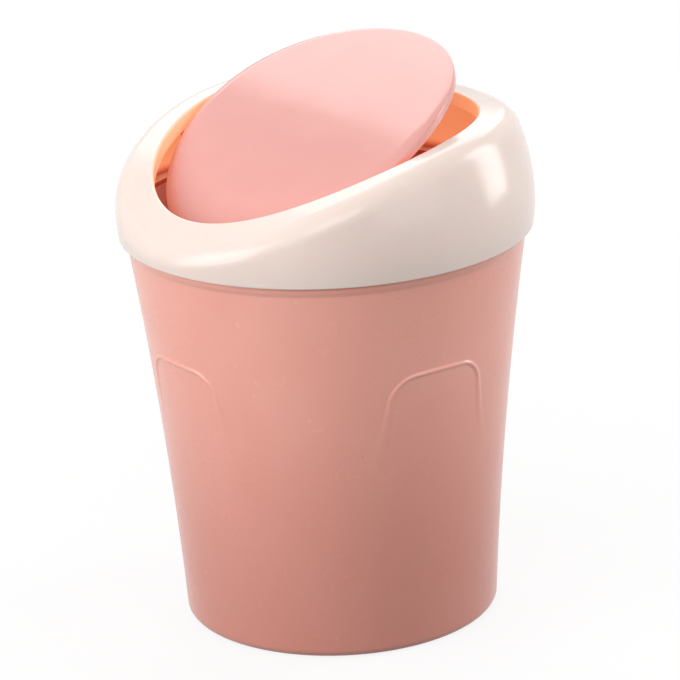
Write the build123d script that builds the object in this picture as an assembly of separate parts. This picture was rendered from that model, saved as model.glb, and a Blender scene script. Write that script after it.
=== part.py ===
from build123d import *
import math
import os

# Countertop trash can with a swing lid, in three moulded pieces.
#
# The bin stands on the XY plane with its axis on +Z and its origin at the centre of
# the foot. The lid's low side faces -Y and its high side +Y. The flap turns about an
# axis along X. Everything is drawn at rest: the lid seated, the flap part way open.

# Driving dimensions, in millimetres and degrees.

# Bin
FOOT_R = 48.9                # outer radius of the wall at the foot
WALL_TOP_R = 61.4            # outer radius of the wall under the rim band
WALL_H = 121.4               # height of the wall up to the rim band
WALL_BOW = 1.4               # how far the wall's outline bows in from a straight taper
WALL_T = 1.8
FLOOR_T = 2.0
FOOT_ROUND = 2.5             # rounding of the outer bottom edge
FOOT_RING_W = 6.0            # width of the ring that the bin stands on
FOOT_RECESS = 1.0            # how far the floor is raised inside that ring
BAND_H = 2.2                 # height of the rim band
BAND_STEP = 0.6              # how far the band stands out from the wall
BAND_SLOPE_H = 1.2           # height of the slope from the wall out to the band
SPIGOT_IN = 1.0              # how far the spigot above the band steps in from it
RIM_ROUND = 0.5              # rounding of the rim's outer edge
RIM_GAP = 0.5                # room between that edge and the collar at its low front

# Grip arches, thin raised lines whose legs fade out downwards
GRIP_COUNT = 4
GRIP_TURN = -2.0             # turn of the bin's arches under the lid
GRIP_LINE_H = 0.4            # how far the line stands out at its top
GRIP_LINE_W = 1.5            # width of the line
GRIP_TOP_Z = 90.0            # inner edge of the line at its upper corners
GRIP_CROWN = 1.2             # rise of the line at its middle
GRIP_FADE_Z = 58.0           # height where the line has faded out
GRIP_TOP_HALF = 15.6         # half the width inside the line, under its corners
GRIP_MID_HALF = 17.0         # half the width at the height below
GRIP_MID_Z = 73.0
GRIP_LOW_HALF = 21.0
GRIP_CORNER = 6.5
GRIP_OVERRUN = 6.0           # how far the line's solid runs on below the faded end

# Lid collar, with heights above its lower edge
COLLAR_GAP = 0.5             # gap between the rim band and the collar's lower edge
COLLAR_OVERHANG = 2.5        # how far the collar stands out past the rim band
COLLAR_WIDEST_H = 7.9
COLLAR_BARREL_R = 62.0       # radius of the wall's curve, seen in section
COLLAR_T = 1.5
COLLAR_EDGE_ROUND = 0.5
SHOULDER_R = 7.3             # rounding between the wall and the arched top
FRONT_H = 6.1                # height where the arched top meets the wall in front
PEAK_H = 35.8                # height of the arched top's highest line
PEAK_Y = 25.6                # place of that line behind the axis
BORDER_W = 14.5              # width of the collar beside the opening
OPENING_Y = -2.6             # centre of the opening, in front of the bin's axis
OPENING_ROUND = 0.6
LIP_DEPTH = 4.6
LIP_T = 1.5
SEAT_T = 1.5                 # thickness of the inner ring that rests on the bin's rim
RIB_COUNT = 8                # ribs that centre the lid on the bin's spigot
RIB_T = 1.2
RIB_GAP = 0.3                # clearance between the ribs and the spigot
RIB_LIFT = 1.5               # height of the ribs' lower ends

# Flap, drawn shut and then turned open
FLAP_GAP = 1.7               # gap all round between the flap and the opening
FLAP_SINK = 1.4              # flap's middle below the arched top when it is shut
FLAP_ARCH_R = 242.0
FLAP_T = 1.5
FLAP_ROLL_R = 7.0            # rounding that rolls the front edge down
FLAP_ROLL_OUT = 0.9          # how far that rounding would reach past the front edge
FLAP_ROLL_BACK = 2.4         # how far the rounded disc is centred behind the flap
FLAP_EDGE_ROUND = 0.5
FLAP_RIM_H = 3.4             # depth of the turned-down rim at the flap's middle
FLAP_RIM_TIP = 1.4           # angle that makes the rim deeper in front than behind
FLAP_OPEN_AT_REST = 18.4     # how far the flap stands open

# Pivots
PIVOT_Y = -12.3
PIVOT_DROP = 9.4             # depth of the pivot under the arched top
PIN_R = 2.0
PIN_GAP = 0.08               # running clearance of the pin in its bore
PIN_PROUD = 0.6              # how far the pin's end stands past the lug
LUG_T = 2.0
LUG_R = 4.6                  # outer radius of the lug round its bore
GUSSET_T = 1.5
EAR_T = 1.7
EAR_IN = 2.7                 # how far the ear's outer face lies in from the flap's edge
EAR_R = 4.2                  # outer radius of the ear round its pin
EAR_FOOT_HALF = 7.0          # half the width of the ear where it joins the flap
PIN_SHOULDER_R = 3.1         # shoulder on the ear, against the lug
SHOULDER_GAP = 0.4           # side play between that shoulder and the lug

# Closing stops under the flap's rim, behind the pivots
STOP_Y = 14.0
STOP_W = 4.0
STOP_T = 1.6
STOP_REACH = 3.2             # how far a stop reaches in past the lip
STOP_GAP = 0.4               # left between stop and rim when the flap is shut

# Sizes worked out from the ones above
BAND_TOP_Z = WALL_H + BAND_H
BAND_R = WALL_TOP_R + BAND_STEP
SPIGOT_R = BAND_R - SPIGOT_IN
SPIGOT_BORE_R = SPIGOT_R - WALL_T
COLLAR_R = BAND_R + COLLAR_OVERHANG
COLLAR_LOW_Z = BAND_TOP_Z + COLLAR_GAP
PEAK_Z = COLLAR_LOW_Z + PEAK_H
ARCH_RISE = PEAK_H - FRONT_H
ARCH_RUN = COLLAR_R + PEAK_Y
ARCH_R = (ARCH_RISE**2 + ARCH_RUN**2) / (2 * ARCH_RISE)
OPENING_R = COLLAR_R - BORDER_W
FLAP_R = OPENING_R - FLAP_GAP
SPAN = 3 * COLLAR_R          # length of forms that pass right through
SAME = 0.05                  # difference under which two places count as one


def top_height(y, inset=0.0):
    """Height of the collar's arched top at y, with the top moved in by inset."""
    return PEAK_Z - ARCH_R + math.sqrt((ARCH_R - inset) ** 2 - (y - PEAK_Y) ** 2)


def flap_axis(tip=0.0):
    """Centre of the shut flap's arch: parallel to the collar's at the opening, or tipped."""
    lean = math.asin((OPENING_Y - PEAK_Y) / ARCH_R) - math.radians(tip)
    middle_z = top_height(OPENING_Y) - FLAP_SINK
    return OPENING_Y - FLAP_ARCH_R * math.sin(lean), middle_z - FLAP_ARCH_R * math.cos(lean)


def flap_height(y, inset=0.0, tip=0.0):
    """Height of the shut flap's arch at y, moved in by inset and tipped forward."""
    axis_y, axis_z = flap_axis(tip)
    return axis_z + math.sqrt((FLAP_ARCH_R - inset) ** 2 - (y - axis_y) ** 2)


def rim_height():
    """Height of the bin's rim, held clear of the collar's rounded low front."""
    middle_r = COLLAR_R - SHOULDER_R
    middle_z = top_height(-middle_r, SHOULDER_R)
    reach = SHOULDER_R - COLLAR_T - RIM_GAP
    return middle_z + math.sqrt(reach**2 - (SPIGOT_R - middle_r) ** 2)


BIN_H = rim_height()
PIVOT_Z = top_height(PIVOT_Y) - PIVOT_DROP
ABOVE = (Align.CENTER, Align.CENTER, Align.MIN)
OUTWARD = (Align.MIN, Align.CENTER, Align.MIN)


def lying_cylinder(radius, axis_y, axis_z):
    """Solid cylinder along X, whose upper side is an arched top."""
    return Pos(0, axis_y, axis_z) * Rot(0, 90, 0) * Cylinder(radius, SPAN)


def turned(outline):
    """Solid of revolution about Z from a closed outline of (radius, height) edges."""
    return revolve(Plane.XZ * make_face(outline), Axis.Z)


def both_sides(solid):
    """A solid on the +X side and its mirror image on the other side."""
    return [solid, mirror(solid, Plane.YZ)]


def bowed(low, high):
    """Outline of the bin's wall between two (radius, height) points, bowed in."""
    middle = ((low[0] + high[0]) / 2 - WALL_BOW, (low[1] + high[1]) / 2)
    return ThreePointArc(low, middle, high)


def wall_radius(z):
    """Outer radius of the bin's wall at a height."""
    share = z / WALL_H
    straight = FOOT_R + (WALL_TOP_R - FOOT_R) * share
    return straight - 4 * WALL_BOW * share * (1 - share)


def line_radius(z):
    """Outer radius of the grip arches' lines at a height, faded out below."""
    share = (z - GRIP_FADE_Z) / (GRIP_TOP_Z - GRIP_FADE_Z)
    return wall_radius(z) + GRIP_LINE_H * share


def arch_face(outset):
    """Face inside a grip arch's inner edge, with its top and sides moved out by outset."""
    top_half = GRIP_TOP_HALF + outset
    top_z = GRIP_TOP_Z + outset
    bottom_z = GRIP_FADE_Z - GRIP_OVERRUN
    left = [
        (-top_half, top_z),
        (-top_half, GRIP_TOP_Z - GRIP_CORNER),
        (-GRIP_MID_HALF - outset, GRIP_MID_Z),
        (-GRIP_LOW_HALF - outset, bottom_z),
    ]
    right = [(-x, z) for x, z in left]
    face = make_face(
        Line(left[0], left[1])
        + ThreePointArc(left[1], left[2], left[3])
        + Line(left[3], right[3])
        + ThreePointArc(right[3], right[2], right[1])
        + Line(right[1], right[0])
        + ThreePointArc(right[0], (0, top_z + GRIP_CROWN), left[0])
    )
    top_corners = face.vertices().sort_by(Axis.Y)[-2:]
    return fillet(top_corners, GRIP_CORNER + outset)


def grip_arch():
    """Solid under one grip arch's line, on the side that faces -Y."""
    band = extrude(Plane.XZ * (arch_face(GRIP_LINE_W) - arch_face(0)), COLLAR_R)
    low_z = GRIP_FADE_Z - GRIP_OVERRUN
    high_z = GRIP_TOP_Z + 2 * (GRIP_CROWN + GRIP_LINE_W)
    low, middle, high = [(line_radius(z), z) for z in (low_z, GRIP_MID_Z, high_z)]
    skin = turned(
        Line((0, low_z), low)
        + ThreePointArc(low, middle, high)
        + Polyline(high, (0, high_z), (0, low_z))
    )
    return band & skin


def bin_body():
    """Tapered bin with a rim band, a spigot for the lid and faded grip arches."""
    foot = (FOOT_R, 0)
    wall_top = (WALL_TOP_R, WALL_H)
    outside = turned(
        Line((0, 0), foot)
        + bowed(foot, wall_top)
        + Polyline(
            wall_top,
            (BAND_R, WALL_H + BAND_SLOPE_H),
            (BAND_R, BAND_TOP_Z),
            (SPIGOT_R, BAND_TOP_Z),
            (SPIGOT_R, BIN_H),
            (0, BIN_H),
            (0, 0),
        )
    )
    circles = outside.edges().filter_by(GeomType.CIRCLE).sort_by(Axis.Z)
    outside = fillet(circles[0], FOOT_ROUND)
    circles = outside.edges().filter_by(GeomType.CIRCLE).sort_by(Axis.Z)
    outside = fillet(circles[-1], RIM_ROUND)
    turns = [GRIP_TURN + i * 360 / GRIP_COUNT for i in range(GRIP_COUNT)]
    outside += [Rot(0, 0, turn) * grip_arch() for turn in turns]
    floor_z = FOOT_RECESS + FLOOR_T
    inner_foot = (wall_radius(floor_z) - WALL_T, floor_z)
    inner_top = (SPIGOT_BORE_R, WALL_H)
    cavity = turned(
        Line((0, floor_z), inner_foot)
        + bowed(inner_foot, inner_top)
        + Polyline(inner_top, (SPIGOT_BORE_R, PEAK_Z), (0, PEAK_Z), (0, floor_z))
    )
    recess = Cylinder(FOOT_R - FOOT_RING_W, FOOT_RECESS, align=ABOVE)
    return outside - [cavity, recess]


def collar_form(inset):
    """The collar's outer form, filled in, with every surface moved in by inset."""
    barrel_r = COLLAR_BARREL_R - inset
    middle_r = COLLAR_R - COLLAR_BARREL_R
    widest_z = COLLAR_LOW_Z + COLLAR_WIDEST_H

    def wall_point(z):
        return (middle_r + math.sqrt(barrel_r**2 - (z - widest_z) ** 2), z)

    low = wall_point(COLLAR_LOW_Z - inset)
    high = wall_point(PEAK_Z + SHOULDER_R)
    form = turned(
        Line((0, low[1]), low)
        + ThreePointArc(low, wall_point(widest_z), high)
        + Polyline(high, (0, high[1]), (0, low[1]))
    )
    form &= lying_cylinder(ARCH_R - inset, PEAK_Y, PEAK_Z - ARCH_R)
    return fillet(shoulder_edges(form), SHOULDER_R - inset)


def shoulder_edges(form):
    """Edges where the arched top meets the wall, without the wall's seam."""
    above = form.edges().filter_by(lambda edge: edge.center().Z > COLLAR_LOW_Z + FRONT_H / 2)
    return above.filter_by(lambda edge: edge.bounding_box().size.Y > COLLAR_T)


def opening_cylinder(radius):
    """Upright cylinder round the middle of the opening, right through the collar."""
    return Pos(0, OPENING_Y, PEAK_Z) * Cylinder(radius, SPAN)


def lip():
    """Ring that hangs round the opening, under the arched top."""
    ring = opening_cylinder(OPENING_R + LIP_T) - opening_cylinder(OPENING_R)
    return ring - lying_cylinder(ARCH_R - LIP_DEPTH, PEAK_Y, PEAK_Z - ARCH_R)


def seat():
    """Ring that rests on the bin's rim."""
    ring = Cylinder(COLLAR_R, SEAT_T, align=ABOVE) - Cylinder(SPIGOT_BORE_R, SPAN)
    return Pos(0, 0, BIN_H) * ring


def ribs():
    """Upright ribs inside the collar's wall that centre it on the bin's spigot."""
    inner_r = SPIGOT_R + RIB_GAP
    low_z = COLLAR_LOW_Z + RIB_LIFT
    rib = Pos(inner_r, 0, low_z) * Box(COLLAR_R - inner_r, RIB_T, BIN_H - low_z, align=OUTWARD)
    return [Rot(0, 0, (i + 0.5) * 360 / RIB_COUNT) * rib for i in range(RIB_COUNT)]


def lug():
    """Plate under the lip on the +X side that holds one pivot bore, with its gusset."""
    face = make_face(
        Polyline(
            (PIVOT_Y - LUG_R, PIVOT_Z),
            (PIVOT_Y - LUG_R, PEAK_Z),
            (PIVOT_Y + LUG_R, PEAK_Z),
            (PIVOT_Y + LUG_R, PIVOT_Z),
        )
        + CenterArc((PIVOT_Y, PIVOT_Z), LUG_R, 0, -180)
    )
    plate = extrude(Plane.YZ.offset(OPENING_R) * face, LUG_T)
    gusset_z = PIVOT_Z + PIN_R + LUG_T
    gusset = Pos(OPENING_R, PIVOT_Y, gusset_z) * Box(
        BORDER_W, GUSSET_T, PEAK_Z - gusset_z, align=OUTWARD
    )
    return plate + gusset


def closing_stop():
    """Tongue under the lip that the flap's rim comes down on when it shuts."""
    edge_x = math.sqrt(OPENING_R**2 - (STOP_Y - OPENING_Y) ** 2)
    top_z = flap_height(STOP_Y - STOP_W / 2, FLAP_RIM_H, FLAP_RIM_TIP) - STOP_GAP
    low_z = top_z - STOP_T
    tongue = Pos(edge_x - STOP_REACH, STOP_Y, low_z) * Box(
        STOP_REACH + LIP_T, STOP_W, STOP_T, align=OUTWARD
    )
    post_h = top_height(STOP_Y, LIP_DEPTH) - low_z + LIP_T
    post = Pos(edge_x, STOP_Y, low_z) * Box(LIP_T, STOP_W, post_h, align=OUTWARD)
    return tongue + post


def is_upper_rim(edge, radius):
    """True for the upper edge of a wall that stays at radius from the opening's axis."""
    for share in (0.25, 0.75):
        point = edge.position_at(share)
        off_wall = math.hypot(point.X, point.Y - OPENING_Y) - radius
        if abs(off_wall) > SAME or point.Z < COLLAR_LOW_Z + FRONT_H / 2:
            return False
    return edge.bounding_box().size.Y > FLAP_T


def lid_collar():
    """Arched ring with a shouldered outside, a lipped opening and two pivot lugs."""
    form = collar_form(0)
    low_edge = form.edges().filter_by(GeomType.CIRCLE).sort_by(Axis.Z)[0]
    form = fillet(low_edge, COLLAR_EDGE_ROUND) - opening_cylinder(OPENING_R)
    form = fillet(form.edges().filter_by(lambda e: is_upper_rim(e, OPENING_R)), OPENING_ROUND)
    hollow = collar_form(COLLAR_T) + opening_cylinder(OPENING_R)
    hollow -= [lip(), seat(), *ribs(), *both_sides(lug()), *both_sides(closing_stop())]
    stops = [stop & opening_cylinder(OPENING_R) for stop in both_sides(closing_stop())]
    solid = form - hollow + stops
    bore_length = 2 * (OPENING_R + LUG_T)
    solid -= Pos(0, PIVOT_Y, PIVOT_Z) * Rot(0, 90, 0) * Cylinder(PIN_R + PIN_GAP, bore_length)
    return solid


def flap_form(inset):
    """Disc under the flap's arch, rolled down in front, filled in, moved in by inset."""
    wide_r = FLAP_R + FLAP_ROLL_OUT + FLAP_ROLL_BACK - inset
    middle = Pos(0, OPENING_Y + FLAP_ROLL_BACK, COLLAR_LOW_Z)
    wide = middle * Cylinder(wide_r, SPAN, align=ABOVE)
    wide &= lying_cylinder(FLAP_ARCH_R - inset, *flap_axis())
    wide = fillet(wide.edges().sort_by(Axis.Z)[-1], FLAP_ROLL_R - inset)
    return wide & opening_cylinder(FLAP_R - inset)


def ear():
    """Tab under the flap on the +X side with its shoulder and stub pin."""
    inner_x = FLAP_R - EAR_IN - EAR_T
    foot_z = flap_height(PIVOT_Y)
    face = make_face(
        Polyline(
            (PIVOT_Y - EAR_R, PIVOT_Z),
            (PIVOT_Y - EAR_FOOT_HALF, foot_z),
            (PIVOT_Y + EAR_FOOT_HALF, foot_z),
            (PIVOT_Y + EAR_R, PIVOT_Z),
        )
        + CenterArc((PIVOT_Y, PIVOT_Z), EAR_R, 0, -180)
    )
    plate = extrude(Plane.YZ.offset(inner_x) * face, EAR_T)
    plate &= flap_form(FLAP_T / 2)
    at_pivot = Pos(inner_x, PIVOT_Y, PIVOT_Z) * Rot(0, 90, 0)
    pin = at_pivot * Cylinder(PIN_R, OPENING_R + LUG_T + PIN_PROUD - inner_x, align=ABOVE)
    shoulder = at_pivot * Cylinder(
        PIN_SHOULDER_R, OPENING_R - SHOULDER_GAP - inner_x, align=ABOVE
    )
    return plate + pin + shoulder


def swing_flap():
    """Arched flap with a rolled edge and a stub pin at each side, part way open."""
    form = flap_form(0)
    rim = form.edges().filter_by(lambda e: is_upper_rim(e, FLAP_R))
    shut = fillet(rim, FLAP_EDGE_ROUND) - flap_form(FLAP_T)
    shut -= lying_cylinder(FLAP_ARCH_R - FLAP_RIM_H, *flap_axis(FLAP_RIM_TIP))
    shut += both_sides(ear())
    pivot = Axis((0, PIVOT_Y, PIVOT_Z), (1, 0, 0))
    return shut.rotate(pivot, FLAP_OPEN_AT_REST)


def main():
    """Build each piece and write it to its own file."""
    os.makedirs("parts", exist_ok=True)
    for make in (bin_body, lid_collar, swing_flap):
        piece = make()
        print(make.__name__, "solids", len(piece.solids()), "volume", round(piece.volume))
        export_step(piece, f"parts/{make.__name__}.step")


if __name__ == "__main__":
    main()
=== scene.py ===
import math

import bpy
from mathutils import Matrix, Vector


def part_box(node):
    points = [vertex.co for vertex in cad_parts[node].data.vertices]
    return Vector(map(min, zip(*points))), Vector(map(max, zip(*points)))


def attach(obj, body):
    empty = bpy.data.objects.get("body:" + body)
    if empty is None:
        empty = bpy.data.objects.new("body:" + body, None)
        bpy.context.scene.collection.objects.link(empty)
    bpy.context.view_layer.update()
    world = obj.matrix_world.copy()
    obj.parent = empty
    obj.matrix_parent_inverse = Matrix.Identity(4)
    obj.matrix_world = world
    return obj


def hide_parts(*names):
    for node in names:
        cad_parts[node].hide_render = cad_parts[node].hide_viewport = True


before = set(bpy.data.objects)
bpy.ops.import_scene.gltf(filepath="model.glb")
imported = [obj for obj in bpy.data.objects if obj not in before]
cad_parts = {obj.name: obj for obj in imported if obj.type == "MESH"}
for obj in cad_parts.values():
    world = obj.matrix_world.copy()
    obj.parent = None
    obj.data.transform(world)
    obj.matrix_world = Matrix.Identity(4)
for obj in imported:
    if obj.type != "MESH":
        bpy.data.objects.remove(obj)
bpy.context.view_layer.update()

# Camera, as fitted to the photograph's outlines (metres, degrees, pixels of 680 x 680)
IMAGE_SIZE = 680
CAMERA_AZIMUTH = 53.75
CAMERA_ELEVATION = 18.98
CAMERA_ROLL = 2.54           # the object leans to the left by this much
CAMERA_DISTANCE = 1.28
AIM_HEIGHT = 0.0896
AIM_PIXEL = (330.9, 330.0)   # where the aim point lies in the photograph
FOCAL_PIXELS = 4119
SENSOR = 36.0

# The bin's sizes in millimetres, as in the part's source
MM_PER_METRE = 1000
FOOT_R = 48.9
WALL_TOP_R = 61.4
WALL_H = 121.4
WALL_BOW = 1.4
WALL_T = 1.8
FLOOR_T = 2.0
FOOT_ROUND = 2.5
FOOT_RING_W = 6.0
FOOT_RECESS = 1.0
BAND_H = 2.2
BAND_STEP = 0.6
BAND_SLOPE_H = 1.2
SPIGOT_IN = 1.0
RIM_ROUND = 0.5
FLOOR_Z = FOOT_RECESS + FLOOR_T
BAND_R = WALL_TOP_R + BAND_STEP
BAND_TOP_Z = WALL_H + BAND_H
SPIGOT_R = BAND_R - SPIGOT_IN
SPIGOT_BORE_R = SPIGOT_R - WALL_T

# The grip arches' sizes in millimetres and degrees, as in the part's source
GRIP_COUNT = 4
GRIP_TURN = -2.0
GRIP_LINE_H = 0.4
GRIP_LINE_W = 1.5
GRIP_TOP_Z = 90.0
GRIP_CROWN = 1.2
GRIP_FADE_Z = 58.0
GRIP_TOP_HALF = 15.6
GRIP_MID_HALF = 17.0
GRIP_MID_Z = 73.0
GRIP_LOW_HALF = 21.0
GRIP_CORNER = 6.5

# The shell's soft edges, in millimetres
GRIP_SOFT_HALF = 1.0         # half the width over which an arch's line rises and falls
GRIP_SOFT_SPREAD = 2.2       # how much wider that gets down the legs
GRIP_LEG_SPREAD = 0.75       # share of the legs' spread that the soft line follows
SLOPE_FOOT = 1.0             # how far below the wall's top its slope starts
EDGE_ROUND = 0.3
RING_BEVEL = 0.2
FLOOR_ROUND = 2.0
FLOOR_MIDDLE_R = 20.0

# The shell's mesh, denser where the arches' lines run (millimetres, degrees, counts)
LEGS_FROM_Z = 60.0
CROWN_FROM_Z = 86.0
CROWN_TO_Z = 93.5
LOW_ROWS = 30
LEG_ROWS = 44
CROWN_ROWS = 50
TOP_ROWS = 14
SLOPE_ROWS = 10
INNER_ROWS = 24
FOOT_STEPS = 8
EDGE_STEPS = 4
FLOOR_STEPS = 6
LEG_IN_ANGLE = 8.5
LEG_OUT_ANGLE = 23.0
MIDDLE_COLUMNS = 18
LEG_COLUMNS = 64
PLAIN_COLUMNS = 20
SHARP_ANGLE = 40

# Plastics: linear colours as (main, pale, deep), and noise in features per metre
BIN_COLOURS = ((0.93, 0.42, 0.34), (0.95, 0.445, 0.365), (0.90, 0.395, 0.315))
FLAP_COLOURS = ((0.78, 0.365, 0.33), (0.80, 0.385, 0.35), (0.75, 0.345, 0.31))
COLLAR_COLOURS = ((0.875, 0.735, 0.67), (0.895, 0.76, 0.695), (0.855, 0.71, 0.645))
BIN_ROUGHNESS = 0.25
FLAP_ROUGHNESS = 0.14
COLLAR_ROUGHNESS = 0.18
CLOUD_SCALE = 28
CLOUD_DETAIL = 3
CLOUD_RANGE = (0.35, 0.65)   # levels of the noise where it starts and is full
FINE_SCALE = 500
FINE_DETAIL = 2
FINE_RANGE = (0.1, 0.9)
FINE_SHARE = 0.15
SPECK_SCALE = 60
SPECK_SIZES = (0.01, 0.016)  # where a speck starts and has ended, in its own cells
SPECK_SHARE = 0.6
SPECK_DARKNESS = 0.35
GLOSS_SCALE = 90
GLOSS_DETAIL = 2
GLOSS_RANGE = (0.3, 0.7)
GLOSS_LESS = 0.025
GLOSS_MORE = 0.035
PEEL_SCALE = 420
PEEL_SHARE = 0.3
PEEL_DETAIL = 1
WAVE_SCALE = 60
WAVE_SHARE = 2.0
BUMP_STRENGTH = 0.06
BUMP_HEIGHT = 0.0004
PLASTIC_IOR = 1.5

# Painted shade: the bin's colour darkens from this height down to its foot (metres, colour
# factor)
PAINTED_SHADE_FROM_Z = 0.11
PAINTED_SHADE_BY = (0.70, 0.60, 0.58)

# Light scattered in the lid's thin wall, and painted light, painted glow and painted shade
# on its inner faces, dim below the bin's rim (metres, strengths)
SCATTER_SHARE = 0.3
SCATTER_RADII = (1.0, 0.38, 0.22)
SCATTER_DEPTH = 0.002
INNER_PAINTED_SHADE = (0.55, 0.10, 0.05)
INNER_PAINTED_LIGHT = (0.97, 0.62, 0.42)
PAINTED_GLOW_LOW_COLOUR = (1.0, 0.12, 0.05)
PAINTED_GLOW_HIGH_COLOUR = (1.0, 0.38, 0.17)
PAINTED_INNER_LOW_Z = 0.131
PAINTED_INNER_HIGH_Z = 0.135
PAINTED_GLOW_DIM = 0.1
PAINTED_GLOW_BRIGHT = 0.5
INWARD_FROM = -0.15          # cosine between a surface's normal and the way outwards
INWARD_TO = -0.75

# Studio (metres; radiance 1 is white)
AMBIENT = 0.56
AMBIENT_TINT = (1, 0.985, 0.97)
BACKDROP_GREY = 0.8
FLOOR_REACH = 4.0
FLOOR_BELOW = 0.0002
FLOOR_GREY = 0.9
FLOOR_GREY_UNSEEN = 0.12     # what the floor sends back up to the object
FLOOR_GLOW = 0.85            # share of the seen floor that is plain white
# Broad lamps close to the object, the main one on the left and fill on the right:
# name, place, width, height, radiance, tilt in degrees
LAMPS = (
    ("key", (-0.25, -1.00, 0.35), 0.8, 0.8, 3.6, 0),
    ("front", (0.62, -0.66, 0.85), 0.6, 0.6, 2.3, 0),
    ("back_left", (-0.87, 0.62, 0.85), 1.1, 0.8, 2.0, 25),
    ("right_edge", (0.40, 1.05, 0.40), 0.4, 1.0, 4.8, 0),
    ("right", (1.05, 0.15, 0.45), 0.7, 0.7, 1.1, 0),
)


def add_mesh(name, points, faces):
    """New object in the scene from points in metres and faces."""
    mesh = bpy.data.meshes.new(name)
    mesh.from_pydata(points, [], faces)
    thing = bpy.data.objects.new(name, mesh)
    bpy.context.scene.collection.objects.link(thing)
    return thing


def blend(low, high, share):
    """Number that lies at share of the way from low to high."""
    return low + (high - low) * share


def steps(low, high, count):
    """Evenly spaced numbers from low up to but not including high."""
    return [low + (high - low) * i / count for i in range(count)]


def rounding(centre, radius, start, end, count):
    """Points of an arc in the (radius, height) plane, angles in degrees."""
    angles = [math.radians(start + (end - start) * i / count) for i in range(count + 1)]
    return [
        (centre[0] + radius * math.cos(angle), centre[1] + radius * math.sin(angle))
        for angle in angles
    ]


def bow(share):
    """How far the bin's wall is bowed in, at a share of its height."""
    return 4 * WALL_BOW * share * (1 - share)


def wall_radius(z):
    """Outer radius of the bin's wall at a height."""
    share = z / WALL_H
    return blend(FOOT_R, WALL_TOP_R, share) - bow(share)


def grip_half(z):
    """Half the width inside a grip arch at a height."""
    if z > GRIP_MID_Z:
        upright_z = GRIP_TOP_Z - GRIP_CORNER
        share = min(1.0, (upright_z - z) / (upright_z - GRIP_MID_Z))
        return blend(GRIP_TOP_HALF, GRIP_MID_HALF, max(0.0, share))
    share = (GRIP_MID_Z - z) / (GRIP_MID_Z - GRIP_FADE_Z)
    return blend(GRIP_MID_HALF, GRIP_LOW_HALF, share * GRIP_LEG_SPREAD)


def grip_line(x, z):
    """How far a grip arch's soft line stands out, x to the side of the arch's middle."""
    fade = min(1.0, (z - GRIP_FADE_Z) / (GRIP_TOP_Z - GRIP_FADE_Z))
    if fade <= 0:
        return 0.0
    from_side = grip_half(z) + GRIP_LINE_W / 2 - abs(x)
    crown = GRIP_CROWN * max(0.0, 1 - (x / GRIP_TOP_HALF) ** 2)
    from_top = GRIP_TOP_Z + GRIP_LINE_W / 2 + crown - z
    corner = GRIP_CORNER + GRIP_LINE_W / 2
    if from_side < corner and from_top < corner:
        away = corner - math.hypot(corner - from_side, corner - from_top)
    else:
        away = min(from_side, from_top)
    half_width = GRIP_SOFT_HALF + GRIP_SOFT_SPREAD * (1 - fade)
    near = max(0.0, 1 - (away / half_width) ** 2)
    return GRIP_LINE_H * fade**1.5 * near**2


def foot_profile():
    """Underside and rounded foot of the bin as (radius, height), up to its wall."""
    ring_in = FOOT_R - FOOT_RING_W
    corner = (wall_radius(FOOT_ROUND) - FOOT_ROUND, FOOT_ROUND)
    return [
        (0, FOOT_RECESS),
        (ring_in - RING_BEVEL, FOOT_RECESS),
        (ring_in, FOOT_RECESS - RING_BEVEL),
        (ring_in, RING_BEVEL),
        (ring_in + RING_BEVEL, 0),
        *rounding(corner, FOOT_ROUND, -90, 0, FOOT_STEPS)[:-1],
    ]


def wall_profile():
    """Outer wall of the bin as (radius, height), up to the slope under its rim band."""
    heights = steps(FOOT_ROUND, LEGS_FROM_Z, LOW_ROWS)
    heights += steps(LEGS_FROM_Z, CROWN_FROM_Z, LEG_ROWS)
    heights += steps(CROWN_FROM_Z, CROWN_TO_Z, CROWN_ROWS)
    heights += steps(CROWN_TO_Z, WALL_H - SLOPE_FOOT, TOP_ROWS)
    return [(wall_radius(z), z) for z in heights]


def band_profile(rim_z):
    """Slope, rim band, ledge and spigot of the bin as (radius, height)."""
    low_z = WALL_H - SLOPE_FOOT
    low_r = wall_radius(low_z)
    band = []
    for i in range(SLOPE_ROWS + 1):
        share = i / SLOPE_ROWS
        soft = share * share * (3 - 2 * share)
        band.append((blend(low_r, BAND_R, soft), blend(low_z, WALL_H + BAND_SLOPE_H, share)))
    band_corner = (BAND_R - EDGE_ROUND, BAND_TOP_Z - EDGE_ROUND)
    outer_corner = (SPIGOT_R - RIM_ROUND, rim_z - RIM_ROUND)
    inner_corner = (SPIGOT_BORE_R + EDGE_ROUND, rim_z - EDGE_ROUND)
    band += rounding(band_corner, EDGE_ROUND, 0, 90, EDGE_STEPS)
    band += [(SPIGOT_R, BAND_TOP_Z)]
    band += rounding(outer_corner, RIM_ROUND, 0, 90, EDGE_STEPS)
    band += rounding(inner_corner, EDGE_ROUND, 90, 180, EDGE_STEPS)
    return band


def inner_profile():
    """Inner wall and floor of the bin as (radius, height), from the top down."""
    floor_r = wall_radius(FLOOR_Z) - WALL_T
    low_z = FLOOR_Z + FLOOR_ROUND
    inner = []
    for z in steps(WALL_H, low_z, INNER_ROWS) + [low_z]:
        share = (z - FLOOR_Z) / (WALL_H - FLOOR_Z)
        inner.append((blend(floor_r, SPIGOT_BORE_R, share) - bow(share), z))
    corner = (inner[-1][0] - FLOOR_ROUND, low_z)
    inner += rounding(corner, FLOOR_ROUND, 0, -90, FLOOR_STEPS)[1:]
    return inner + [(FLOOR_MIDDLE_R, FLOOR_Z), (0, FLOOR_Z)]


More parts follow.
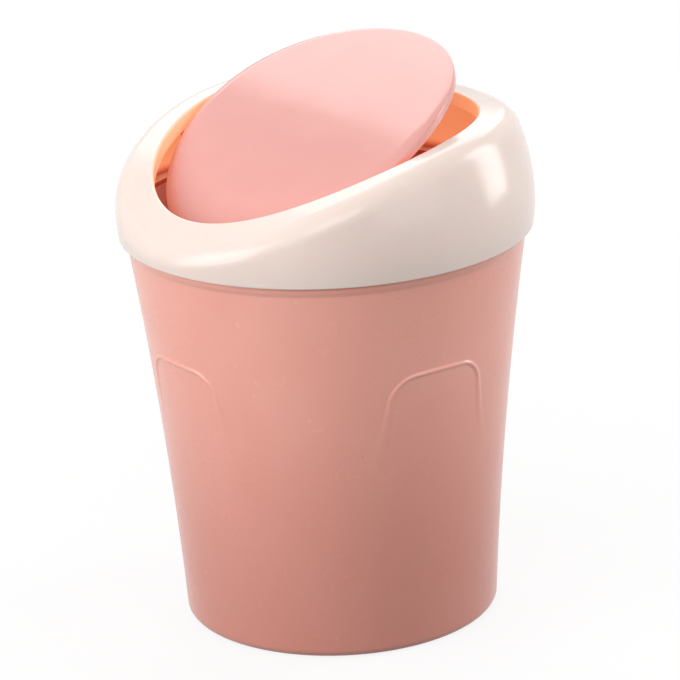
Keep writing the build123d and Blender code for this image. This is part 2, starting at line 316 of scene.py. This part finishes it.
def column_angles():
    """Angles round the bin in degrees, each with its angle from its arch's middle."""
    half_turn = 180 / GRIP_COUNT
    local = steps(-half_turn, -LEG_OUT_ANGLE, PLAIN_COLUMNS)
    local += steps(-LEG_OUT_ANGLE, -LEG_IN_ANGLE, LEG_COLUMNS)
    local += steps(-LEG_IN_ANGLE, LEG_IN_ANGLE, MIDDLE_COLUMNS)
    local += steps(LEG_IN_ANGLE, LEG_OUT_ANGLE, LEG_COLUMNS)
    local += steps(LEG_OUT_ANGLE, half_turn, PLAIN_COLUMNS)
    middles = [-90 + GRIP_TURN + 2 * half_turn * i for i in range(GRIP_COUNT)]
    return [(middle + angle, angle) for middle in middles for angle in local]


def bin_points(rim_z, columns):
    """Points of the bin's shell in millimetres, row by row, with a point at each pole."""
    foot, wall = foot_profile(), wall_profile()
    profile = foot + wall + band_profile(rim_z) + inner_profile()
    points = [(0, 0, profile[0][1])]
    for row, (radius, z) in enumerate(profile[1:-1], start=1):
        on_wall = len(foot) <= row < len(foot) + len(wall)
        for angle, local in columns:
            turn = math.radians(angle)
            out = radius
            if on_wall:
                out += grip_line(radius * math.sin(math.radians(local)), z)
            points.append((out * math.cos(turn), out * math.sin(turn), z))
    points.append((0, 0, profile[-1][1]))
    return points


def bin_faces(row_count, column_count):
    """Faces between the shell's rows, and fans to the point at each pole."""
    top = 1 + (row_count - 1) * column_count
    faces = []
    for i in range(column_count):
        j = (i + 1) % column_count
        faces.append((0, 1 + j, 1 + i))
        for row in range(row_count - 1):
            low = 1 + row * column_count
            high = low + column_count
            faces.append((low + i, low + j, high + j, high + i))
        faces.append((top + i, top + j, top + column_count))
    return faces


def make_bin():
    """The bin's shell with soft grip arches, in place of the plain solid."""
    rim_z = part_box("bin_body")[1][2] * MM_PER_METRE
    columns = column_angles()
    points = bin_points(rim_z, columns)
    faces = bin_faces((len(points) - 2) // len(columns), len(columns))
    in_metres = [tuple(number / MM_PER_METRE for number in point) for point in points]
    shell = add_mesh("bin_shell", in_metres, faces)
    shell.data.validate()
    shell.data.shade_smooth()
    shell.data.set_sharp_from_angle(angle=math.radians(SHARP_ANGLE))
    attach(shell, "bin")
    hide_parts("bin_body")
    return shell


class Nodes:
    """Short ways to add and join shader nodes in one new material."""

    def __init__(self, name):
        self.material = bpy.data.materials.new(name)
        self.material.use_nodes = True
        self.tree = self.material.node_tree
        self.inputs = self.tree.nodes["Principled BSDF"].inputs
        self.place = self.add("ShaderNodeTexCoord").outputs["Object"]

    def add(self, kind, **settings):
        """New node of a kind, with its own settings."""
        node = self.tree.nodes.new(kind)
        for name, value in settings.items():
            setattr(node, name, value)
        return node

    def feed(self, socket, value):
        """Join a socket or set a plain number or colour on it."""
        if isinstance(value, bpy.types.NodeSocket):
            self.tree.links.new(value, socket)
        elif isinstance(value, tuple):
            socket.default_value = (*value, 1)
        else:
            socket.default_value = value

    def noise(self, scale, detail):
        """Noise over the object's own space, scale in features per metre."""
        node = self.add("ShaderNodeTexNoise")
        self.feed(node.inputs["Scale"], scale)
        self.feed(node.inputs["Detail"], detail)
        self.feed(node.inputs["Vector"], self.place)
        return node.outputs["Fac"]

    def height(self):
        """Height above the floor, in metres."""
        node = self.add("ShaderNodeSeparateXYZ")
        self.feed(node.inputs[0], self.place)
        return node.outputs["Z"]

    def span(self, value, low, high, to_low, to_high, kind="LINEAR"):
        """Value mapped from one range to another and held inside it."""
        node = self.add("ShaderNodeMapRange", interpolation_type=kind)
        self.feed(node.inputs["Value"], value)
        self.feed(node.inputs["From Min"], low)
        self.feed(node.inputs["From Max"], high)
        self.feed(node.inputs["To Min"], to_low)
        self.feed(node.inputs["To Max"], to_high)
        return node.outputs["Result"]

    def calc(self, operation, first, second):
        """Two values put together by a named operation."""
        node = self.add("ShaderNodeMath", operation=operation)
        self.feed(node.inputs[0], first)
        self.feed(node.inputs[1], second)
        return node.outputs["Value"]

    def mix(self, share, first, second, kind="MIX"):
        """Colour mixed from first to second by share."""
        node = self.add("ShaderNodeMix", data_type="RGBA", blend_type=kind)
        self.feed(node.inputs["Factor"], share)
        self.feed(node.inputs[6], first)
        self.feed(node.inputs[7], second)
        return node.outputs[2]

    def inward(self):
        """1 on surfaces that face the upright axis, 0 on those that face away or up."""
        geometry = self.add("ShaderNodeNewGeometry")
        flat = self.add("ShaderNodeVectorMath", operation="MULTIPLY")
        flat.inputs[1].default_value = (1, 1, 0)
        self.feed(flat.inputs[0], self.place)
        unit = self.add("ShaderNodeVectorMath", operation="NORMALIZE")
        self.feed(unit.inputs[0], flat.outputs["Vector"])
        dot = self.add("ShaderNodeVectorMath", operation="DOT_PRODUCT")
        self.feed(dot.inputs[0], unit.outputs["Vector"])
        self.feed(dot.inputs[1], geometry.outputs["Normal"])
        return self.span(dot.outputs["Value"], INWARD_FROM, INWARD_TO, 0, 1, "SMOOTHSTEP")


def plastic(name, colours, roughness):
    """Moulded gloss plastic with slight mottling, orange peel and tiny specks."""
    main, pale, deep = colours
    n = Nodes(name)
    cloudy = n.span(n.noise(CLOUD_SCALE, CLOUD_DETAIL), *CLOUD_RANGE, 0, 1, "SMOOTHSTEP")
    fine = n.span(n.noise(FINE_SCALE, FINE_DETAIL), *FINE_RANGE, 0, FINE_SHARE)
    base = n.mix(fine, n.mix(cloudy, main, pale), deep)
    cells = n.add("ShaderNodeTexVoronoi")
    n.feed(cells.inputs["Scale"], SPECK_SCALE)
    n.feed(cells.inputs["Vector"], n.place)
    speck = n.span(cells.outputs["Distance"], *SPECK_SIZES, SPECK_SHARE, 0)
    base = n.mix(speck, base, tuple(level * SPECK_DARKNESS for level in deep))
    n.feed(n.inputs["Base Color"], base)
    least, most = roughness - GLOSS_LESS, roughness + GLOSS_MORE
    gloss = n.span(n.noise(GLOSS_SCALE, GLOSS_DETAIL), *GLOSS_RANGE, least, most)
    n.feed(n.inputs["Roughness"], gloss)
    n.feed(n.inputs["IOR"], PLASTIC_IOR)
    peel = n.calc("MULTIPLY", n.noise(PEEL_SCALE, PEEL_DETAIL), PEEL_SHARE)
    wave = n.calc("MULTIPLY", n.noise(WAVE_SCALE, PEEL_DETAIL), WAVE_SHARE)
    bump = n.add("ShaderNodeBump")
    n.feed(bump.inputs["Strength"], BUMP_STRENGTH)
    n.feed(bump.inputs["Distance"], BUMP_HEIGHT)
    n.feed(bump.inputs["Height"], n.calc("ADD", peel, wave))
    n.feed(n.inputs["Normal"], bump.outputs["Normal"])
    return n, base


def bin_plastic():
    """Pink, with painted shade that darkens it towards the foot."""
    n, base = plastic("bin_pink", BIN_COLOURS, BIN_ROUGHNESS)
    # painted shade: the colour darkens towards the foot
    low = n.span(n.height(), PAINTED_SHADE_FROM_Z, 0.0, 0, 1, "SMOOTHSTEP")
    n.feed(n.inputs["Base Color"], n.mix(low, base, PAINTED_SHADE_BY, "MULTIPLY"))
    return n.material


def flap_plastic():
    """Glossy pink of the flap."""
    return plastic("flap_pink", FLAP_COLOURS, FLAP_ROUGHNESS)[0].material


def collar_plastic():
    """Ivory outside, with light scattered in its wall; its inner faces get a painted warm
    glow, and painted shade below the bin's rim.
    """
    n, base = plastic("collar_ivory", COLLAR_COLOURS, COLLAR_ROUGHNESS)
    n.feed(n.inputs["Subsurface Weight"], SCATTER_SHARE)
    n.inputs["Subsurface Radius"].default_value = SCATTER_RADII
    n.feed(n.inputs["Subsurface Scale"], SCATTER_DEPTH)
    # painted light and painted shade: inner faces turn orange above the bin's rim height and
    # dark red below it
    inside = n.inward()
    upper = n.span(n.height(), PAINTED_INNER_LOW_Z, PAINTED_INNER_HIGH_Z, 0, 1, "SMOOTHSTEP")
    warm = n.mix(upper, INNER_PAINTED_SHADE, INNER_PAINTED_LIGHT)
    n.feed(n.inputs["Base Color"], n.mix(inside, base, warm))
    # painted glow: the inner faces emit warm light though they are no lamp, dim below the
    # bin's rim height
    n.feed(n.inputs["Emission Color"], n.mix(upper, PAINTED_GLOW_LOW_COLOUR, PAINTED_GLOW_HIGH_COLOUR))
    level = n.span(upper, 0, 1, PAINTED_GLOW_DIM, PAINTED_GLOW_BRIGHT)
    n.feed(n.inputs["Emission Strength"], n.calc("MULTIPLY", inside, level))
    n.material.cycles.emission_sampling = "NONE"
    return n.material


def make_materials(shell):
    """Give the shell and both CAD pieces their plastics."""
    shell.data.materials.append(bin_plastic())
    for node, material in (("swing_flap", flap_plastic()), ("lid_collar", collar_plastic())):
        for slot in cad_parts[node].material_slots:
            slot.material = material


def make_lamp(name, place, width, height, radiance, tilt):
    """Rectangular lamp aimed at the object."""
    data = bpy.data.lights.new(name, "AREA")
    data.shape = "RECTANGLE"
    data.size = width
    data.size_y = height
    data.energy = radiance * math.pi * width * height
    aim = (Vector((0, 0, AIM_HEIGHT)) - Vector(place)).to_track_quat("-Z", "Y")
    turn = aim.to_matrix().to_4x4() @ Matrix.Rotation(math.radians(tilt), 4, "Z")
    lamp = bpy.data.objects.new(name, data)
    lamp.matrix_world = Matrix.Translation(place) @ turn
    bpy.context.scene.collection.objects.link(lamp)


def seen_share(tree):
    """1 for rays that show the background: seen directly, mirrored or through glass."""
    path = tree.nodes.new("ShaderNodeLightPath")
    share = path.outputs["Is Camera Ray"]
    for name in ("Is Glossy Ray", "Is Transmission Ray"):
        node = tree.nodes.new("ShaderNodeMath")
        node.operation = "MAXIMUM"
        tree.links.new(share, node.inputs[0])
        tree.links.new(path.outputs[name], node.inputs[1])
        share = node.outputs[0]
    return share


def show_by_ray(tree, lit, seen, surface):
    """Use one shader for the light on the object and another where it is seen."""
    mix = tree.nodes.new("ShaderNodeMixShader")
    tree.links.new(seen_share(tree), mix.inputs[0])
    tree.links.new(lit.outputs[0], mix.inputs[1])
    tree.links.new(seen.outputs[0], mix.inputs[2])
    tree.links.new(mix.outputs[0], surface)


def make_world():
    """Soft warm light all round, seen as a plain pale backdrop."""
    world = bpy.data.worlds.new("studio")
    bpy.context.scene.world = world
    world.use_nodes = True
    tree = world.node_tree
    soft = tree.nodes["Background"]
    soft.inputs["Color"].default_value = (*AMBIENT_TINT, 1)
    soft.inputs["Strength"].default_value = AMBIENT
    pale = tree.nodes.new("ShaderNodeBackground")
    pale.inputs["Color"].default_value = (BACKDROP_GREY, BACKDROP_GREY, BACKDROP_GREY, 1)
    show_by_ray(tree, soft, pale, tree.nodes["World Output"].inputs["Surface"])


def make_floor():
    """Plain pale floor that keeps the object's shadow."""
    sides = ((-1, -1), (1, -1), (1, 1), (-1, 1))
    corners = [(x * FLOOR_REACH, y * FLOOR_REACH, -FLOOR_BELOW) for x, y in sides]
    floor = add_mesh("floor", corners, [(0, 1, 2, 3)])
    material = bpy.data.materials.new("floor")
    material.use_nodes = True
    tree = material.node_tree
    tree.nodes.remove(tree.nodes["Principled BSDF"])
    grey = tree.nodes.new("ShaderNodeBsdfDiffuse")
    grey.inputs["Color"].default_value = (FLOOR_GREY, FLOOR_GREY, FLOOR_GREY, 1)
    white = tree.nodes.new("ShaderNodeEmission")
    pale = tree.nodes.new("ShaderNodeMixShader")
    pale.inputs[0].default_value = FLOOR_GLOW
    tree.links.new(grey.outputs[0], pale.inputs[1])
    tree.links.new(white.outputs[0], pale.inputs[2])
    dark = tree.nodes.new("ShaderNodeBsdfDiffuse")
    unseen = (FLOOR_GREY_UNSEEN, FLOOR_GREY_UNSEEN, FLOOR_GREY_UNSEEN, 1)
    dark.inputs["Color"].default_value = unseen
    show_by_ray(tree, dark, pale, tree.nodes["Material Output"].inputs["Surface"])
    floor.data.materials.append(material)


def make_camera():
    """Camera at the photograph's viewing angle."""
    azimuth = math.radians(CAMERA_AZIMUTH)
    elevation = math.radians(CAMERA_ELEVATION)
    roll = math.radians(CAMERA_ROLL)
    back = Vector(
        (
            math.sin(azimuth) * math.cos(elevation),
            -math.cos(azimuth) * math.cos(elevation),
            math.sin(elevation),
        )
    )
    right = Vector((0, 0, 1)).cross(back).normalized()
    up = back.cross(right)
    rolled_right = right * math.cos(roll) - up * math.sin(roll)
    rolled_up = right * math.sin(roll) + up * math.cos(roll)
    data = bpy.data.cameras.new("camera")
    data.sensor_width = SENSOR
    data.lens = FOCAL_PIXELS / IMAGE_SIZE * SENSOR
    data.shift_x = (IMAGE_SIZE / 2 - AIM_PIXEL[0]) / IMAGE_SIZE
    data.shift_y = (AIM_PIXEL[1] - IMAGE_SIZE / 2) / IMAGE_SIZE
    camera = bpy.data.objects.new("camera", data)
    bpy.context.scene.collection.objects.link(camera)
    place = Vector((0, 0, AIM_HEIGHT)) + back * CAMERA_DISTANCE
    turn = Matrix((rolled_right, rolled_up, back)).transposed().to_4x4()
    camera.matrix_world = Matrix.Translation(place) @ turn
    bpy.context.scene.camera = camera


make_camera()
make_materials(make_bin())
make_floor()
make_world()
for lamp in LAMPS:
    make_lamp(*lamp)
bpy.context.scene.view_settings.view_transform = "Standard"
